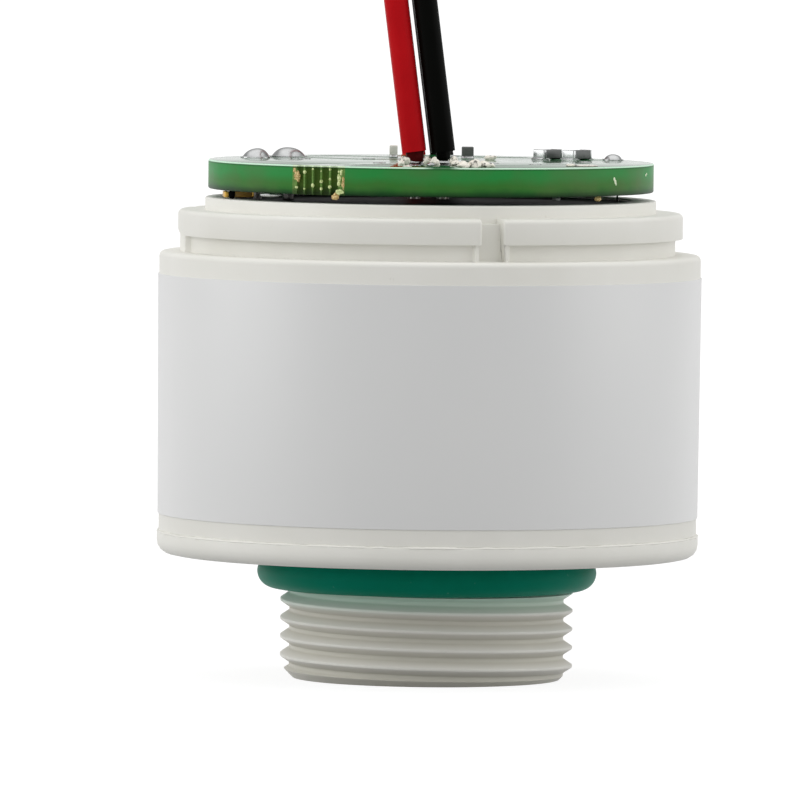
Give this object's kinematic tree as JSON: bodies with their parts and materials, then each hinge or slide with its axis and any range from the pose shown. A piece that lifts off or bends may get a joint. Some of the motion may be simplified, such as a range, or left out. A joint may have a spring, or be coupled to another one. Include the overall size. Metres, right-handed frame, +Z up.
{
  "type": "oxygen sensor cell",
  "caption": "Round white galvanic oxygen cell with a threaded gas nose and O-ring, a snap ring collar, a green circuit board on its back and red and black flying leads ending in a small plug.",
  "frame": {"origin": "centre of the threaded nose's end face", "axes": "+Z up the cell's axis from the nose to the circuit board; -Y is the front, where a slot of the snap ring shows, and the leads lie towards +Y"},
  "size_m": [0.0296, 0.0799, 0.0499],
  "materials": {
    "white_abs": "moulded white ABS, satin",
    "green_rubber": "moulded green rubber",
    "porous_ptfe": "porous white PTFE",
    "label_paper": "blank white label film",
    "dark_rubber": "moulded black rubber",
    "clear_film": "thin fluoropolymer film",
    "gold_plate": "gold plated",
    "glass_paper": "glass fibre paper",
    "rolled_lead": "rolled lead strip",
    "titanium": "drawn titanium wire",
    "black_epoxy": "poured black epoxy",
    "board_laminate": "green solder mask on glass laminate",
    "solder": "bright reflowed solder",
    "resistor_ceramic": "grey glaze on ceramic with tinned ends",
    "thermistor_ceramic": "dark ceramic with tinned ends",
    "capacitor_ceramic": "tan ceramic with plated ends",
    "red_pvc": "extruded red insulation",
    "black_pvc": "extruded black insulation",
    "tinned_copper": "tin plated",
    "white_nylon": "moulded natural nylon"
  },
  "bodies": {
    "root": {"front_cap": "white_abs", "nose_o_ring": "green_rubber", "dust_filter": "porous_ptfe", "filter_retainer": "white_abs", "sensor_body": "white_abs", "blank_label": "label_paper", "membrane_gasket": "dark_rubber", "sensing_membrane": "clear_film", "gold_cathode": "gold_plate", "cathode_support": "white_abs", "separator": "glass_paper", "lead_anode": "rolled_lead", "anode_lead": "titanium", "cathode_lead": "titanium", "rear_potting": "black_epoxy", "circuit_board": "board_laminate", "anode_solder": "solder", "cathode_solder": "solder", "test_pad_solder": "solder", "chip_resistor_1": "resistor_ceramic", "chip_resistor_2": "resistor_ceramic", "thermistor": "thermistor_ceramic", "chip_capacitor": "capacitor_ceramic", "underside_capacitor": "capacitor_ceramic", "red_wire": "red_pvc", "black_wire": "black_pvc", "red_wire_core": "tinned_copper", "black_wire_core": "tinned_copper", "red_solder_joint": "solder", "black_solder_joint": "solder", "red_contact": "tinned_copper", "black_contact": "tinned_copper", "plug_housing": "white_nylon"}
  },
  "joints": []
}
